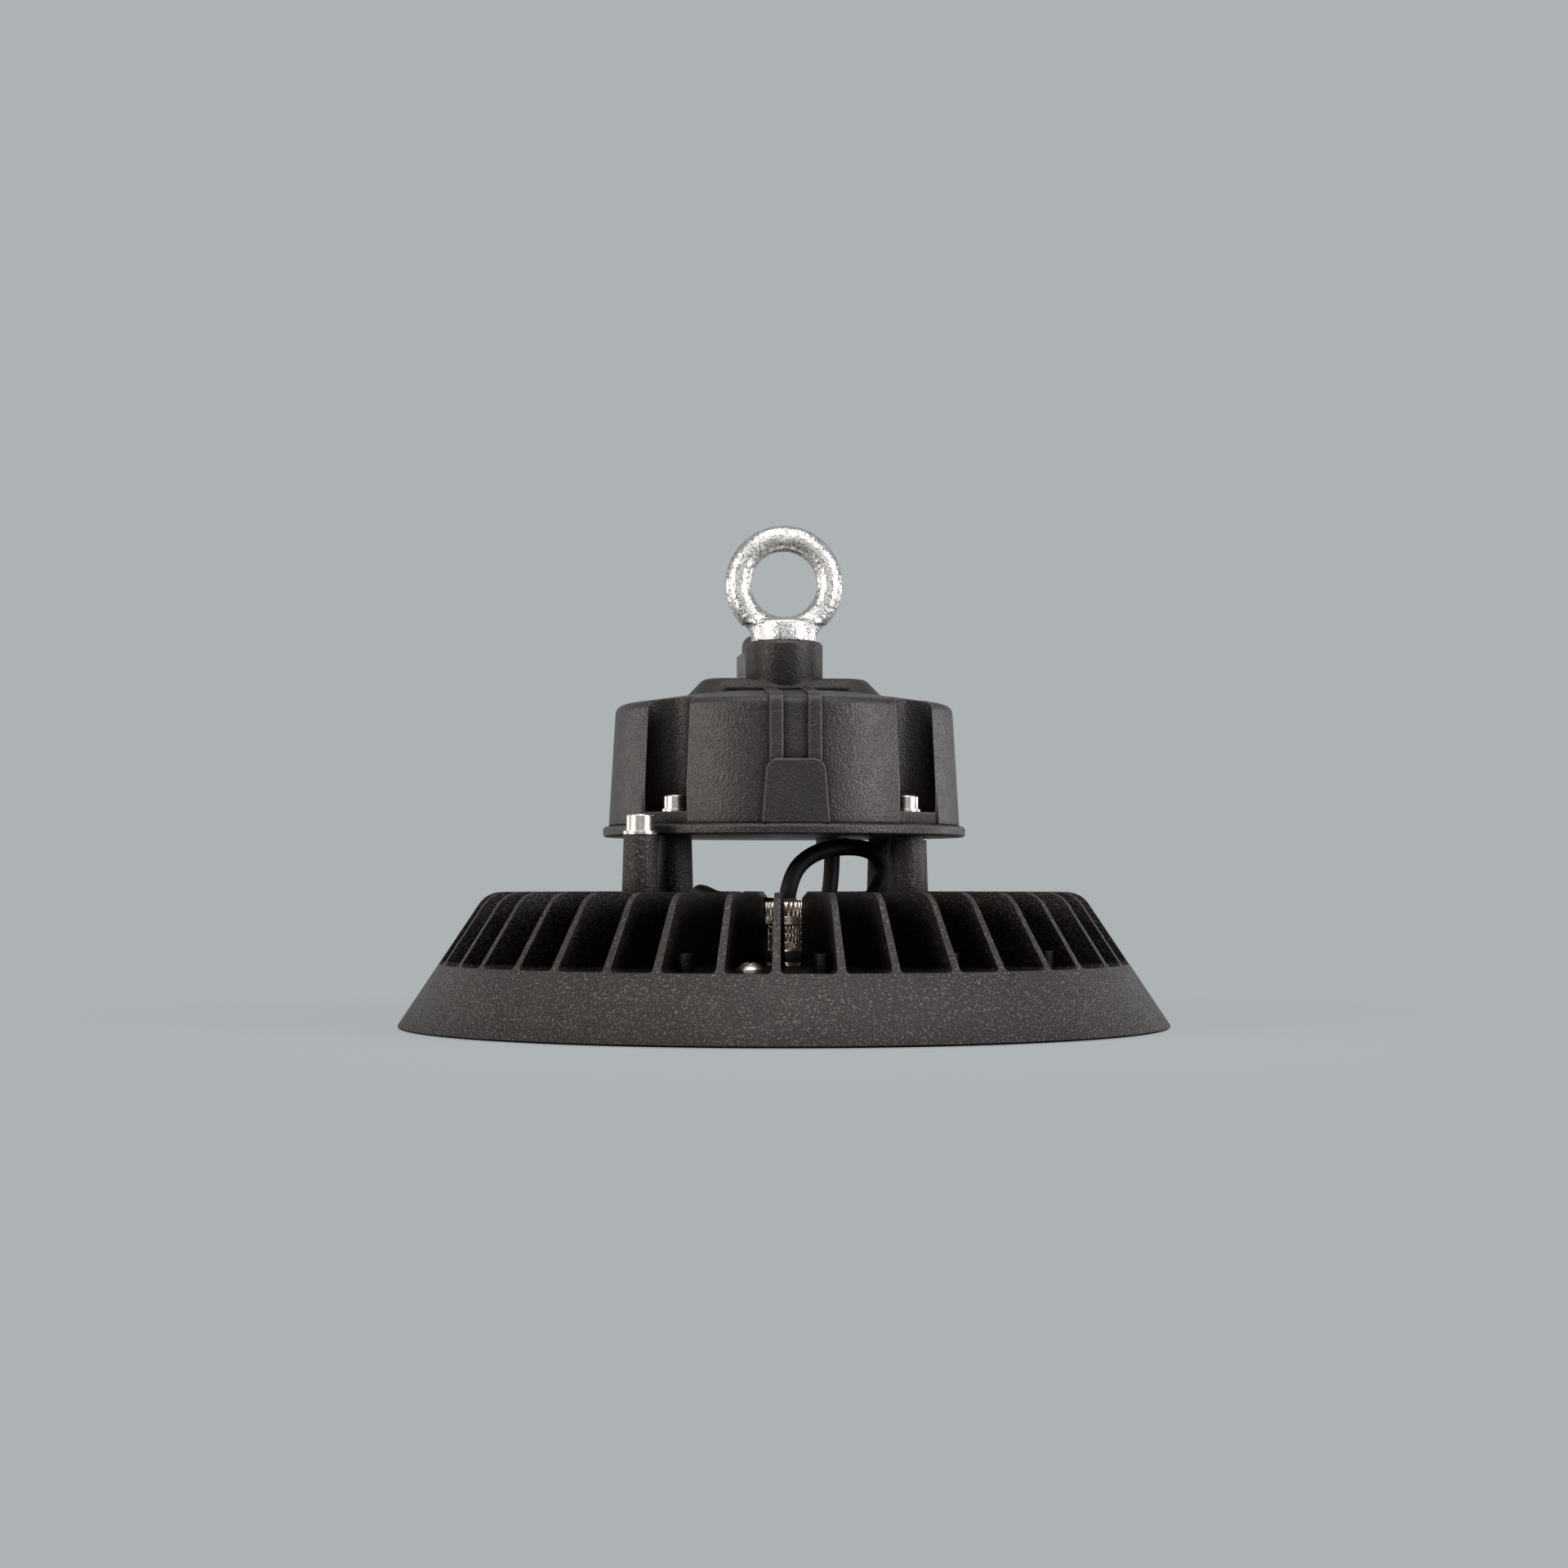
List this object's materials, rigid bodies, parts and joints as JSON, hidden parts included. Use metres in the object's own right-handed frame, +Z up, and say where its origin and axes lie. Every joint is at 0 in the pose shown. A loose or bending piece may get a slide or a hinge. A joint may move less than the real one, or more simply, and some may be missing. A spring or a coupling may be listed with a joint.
{
  "type": "high bay light",
  "caption": "Round LED high bay luminaire with a finned cast heat sink, a lobed driver housing on cast posts, a lifting eye bolt and a flush lens.",
  "frame": {"origin": "centre of the rim, in the plane that it rests on", "axes": "+Z up along the light's axis; -Y is the front, where the two housing ribs are; +X to the right seen from the front; the eye bolt's ring axis is along Y"},
  "size_m": [0.29, 0.29, 0.19],
  "materials": {
    "heat_sink_coat": "fine sandy powder coat, charcoal",
    "housing_coat": "leathery powder coat, charcoal",
    "bright_steel": "bright stainless",
    "zinc_plate": "bright zinc on forged steel",
    "nickel_brass": "nickel plated brass, worn warm",
    "black_rubber": "matt rubber",
    "black_plastic": "moulded black",
    "cable_jacket": "smooth black jacket",
    "grey_pad": "soft gap pad",
    "white_board": "white solder mask on aluminium",
    "phosphor": "yellow phosphor",
    "clear_glass": "toughened clear glass",
    "driver_case": "plain aluminium case"
  },
  "bodies": {
    "root": {"board_screws": "bright_steel", "bracket_screws": "bright_steel", "bracket_washers": "bright_steel", "driver_base_plate": "housing_coat", "driver_gasket": "black_rubber", "driver_housing": "housing_coat", "driver_module": "driver_case", "earth_screw": "bright_steel", "eye_bolt": "zinc_plate", "heat_sink": "heat_sink_coat", "housing_screws": "bright_steel", "housing_washers": "bright_steel", "lead": "cable_jacket", "lead_bushing": "black_plastic", "lead_clamp_nut": "nickel_brass", "lead_coupling": "nickel_brass", "lead_seal": "black_rubber", "lead_socket": "nickel_brass", "led_board": "white_board", "led_emitters": "phosphor", "lens_gasket": "black_rubber", "lens_glass": "clear_glass", "lens_ring": "heat_sink_coat", "lens_screws": "bright_steel", "supply_gland_body": "black_plastic", "supply_gland_nut": "black_plastic", "supply_gland_seal": "black_rubber", "thermal_pad": "grey_pad"}
  },
  "joints": []
}
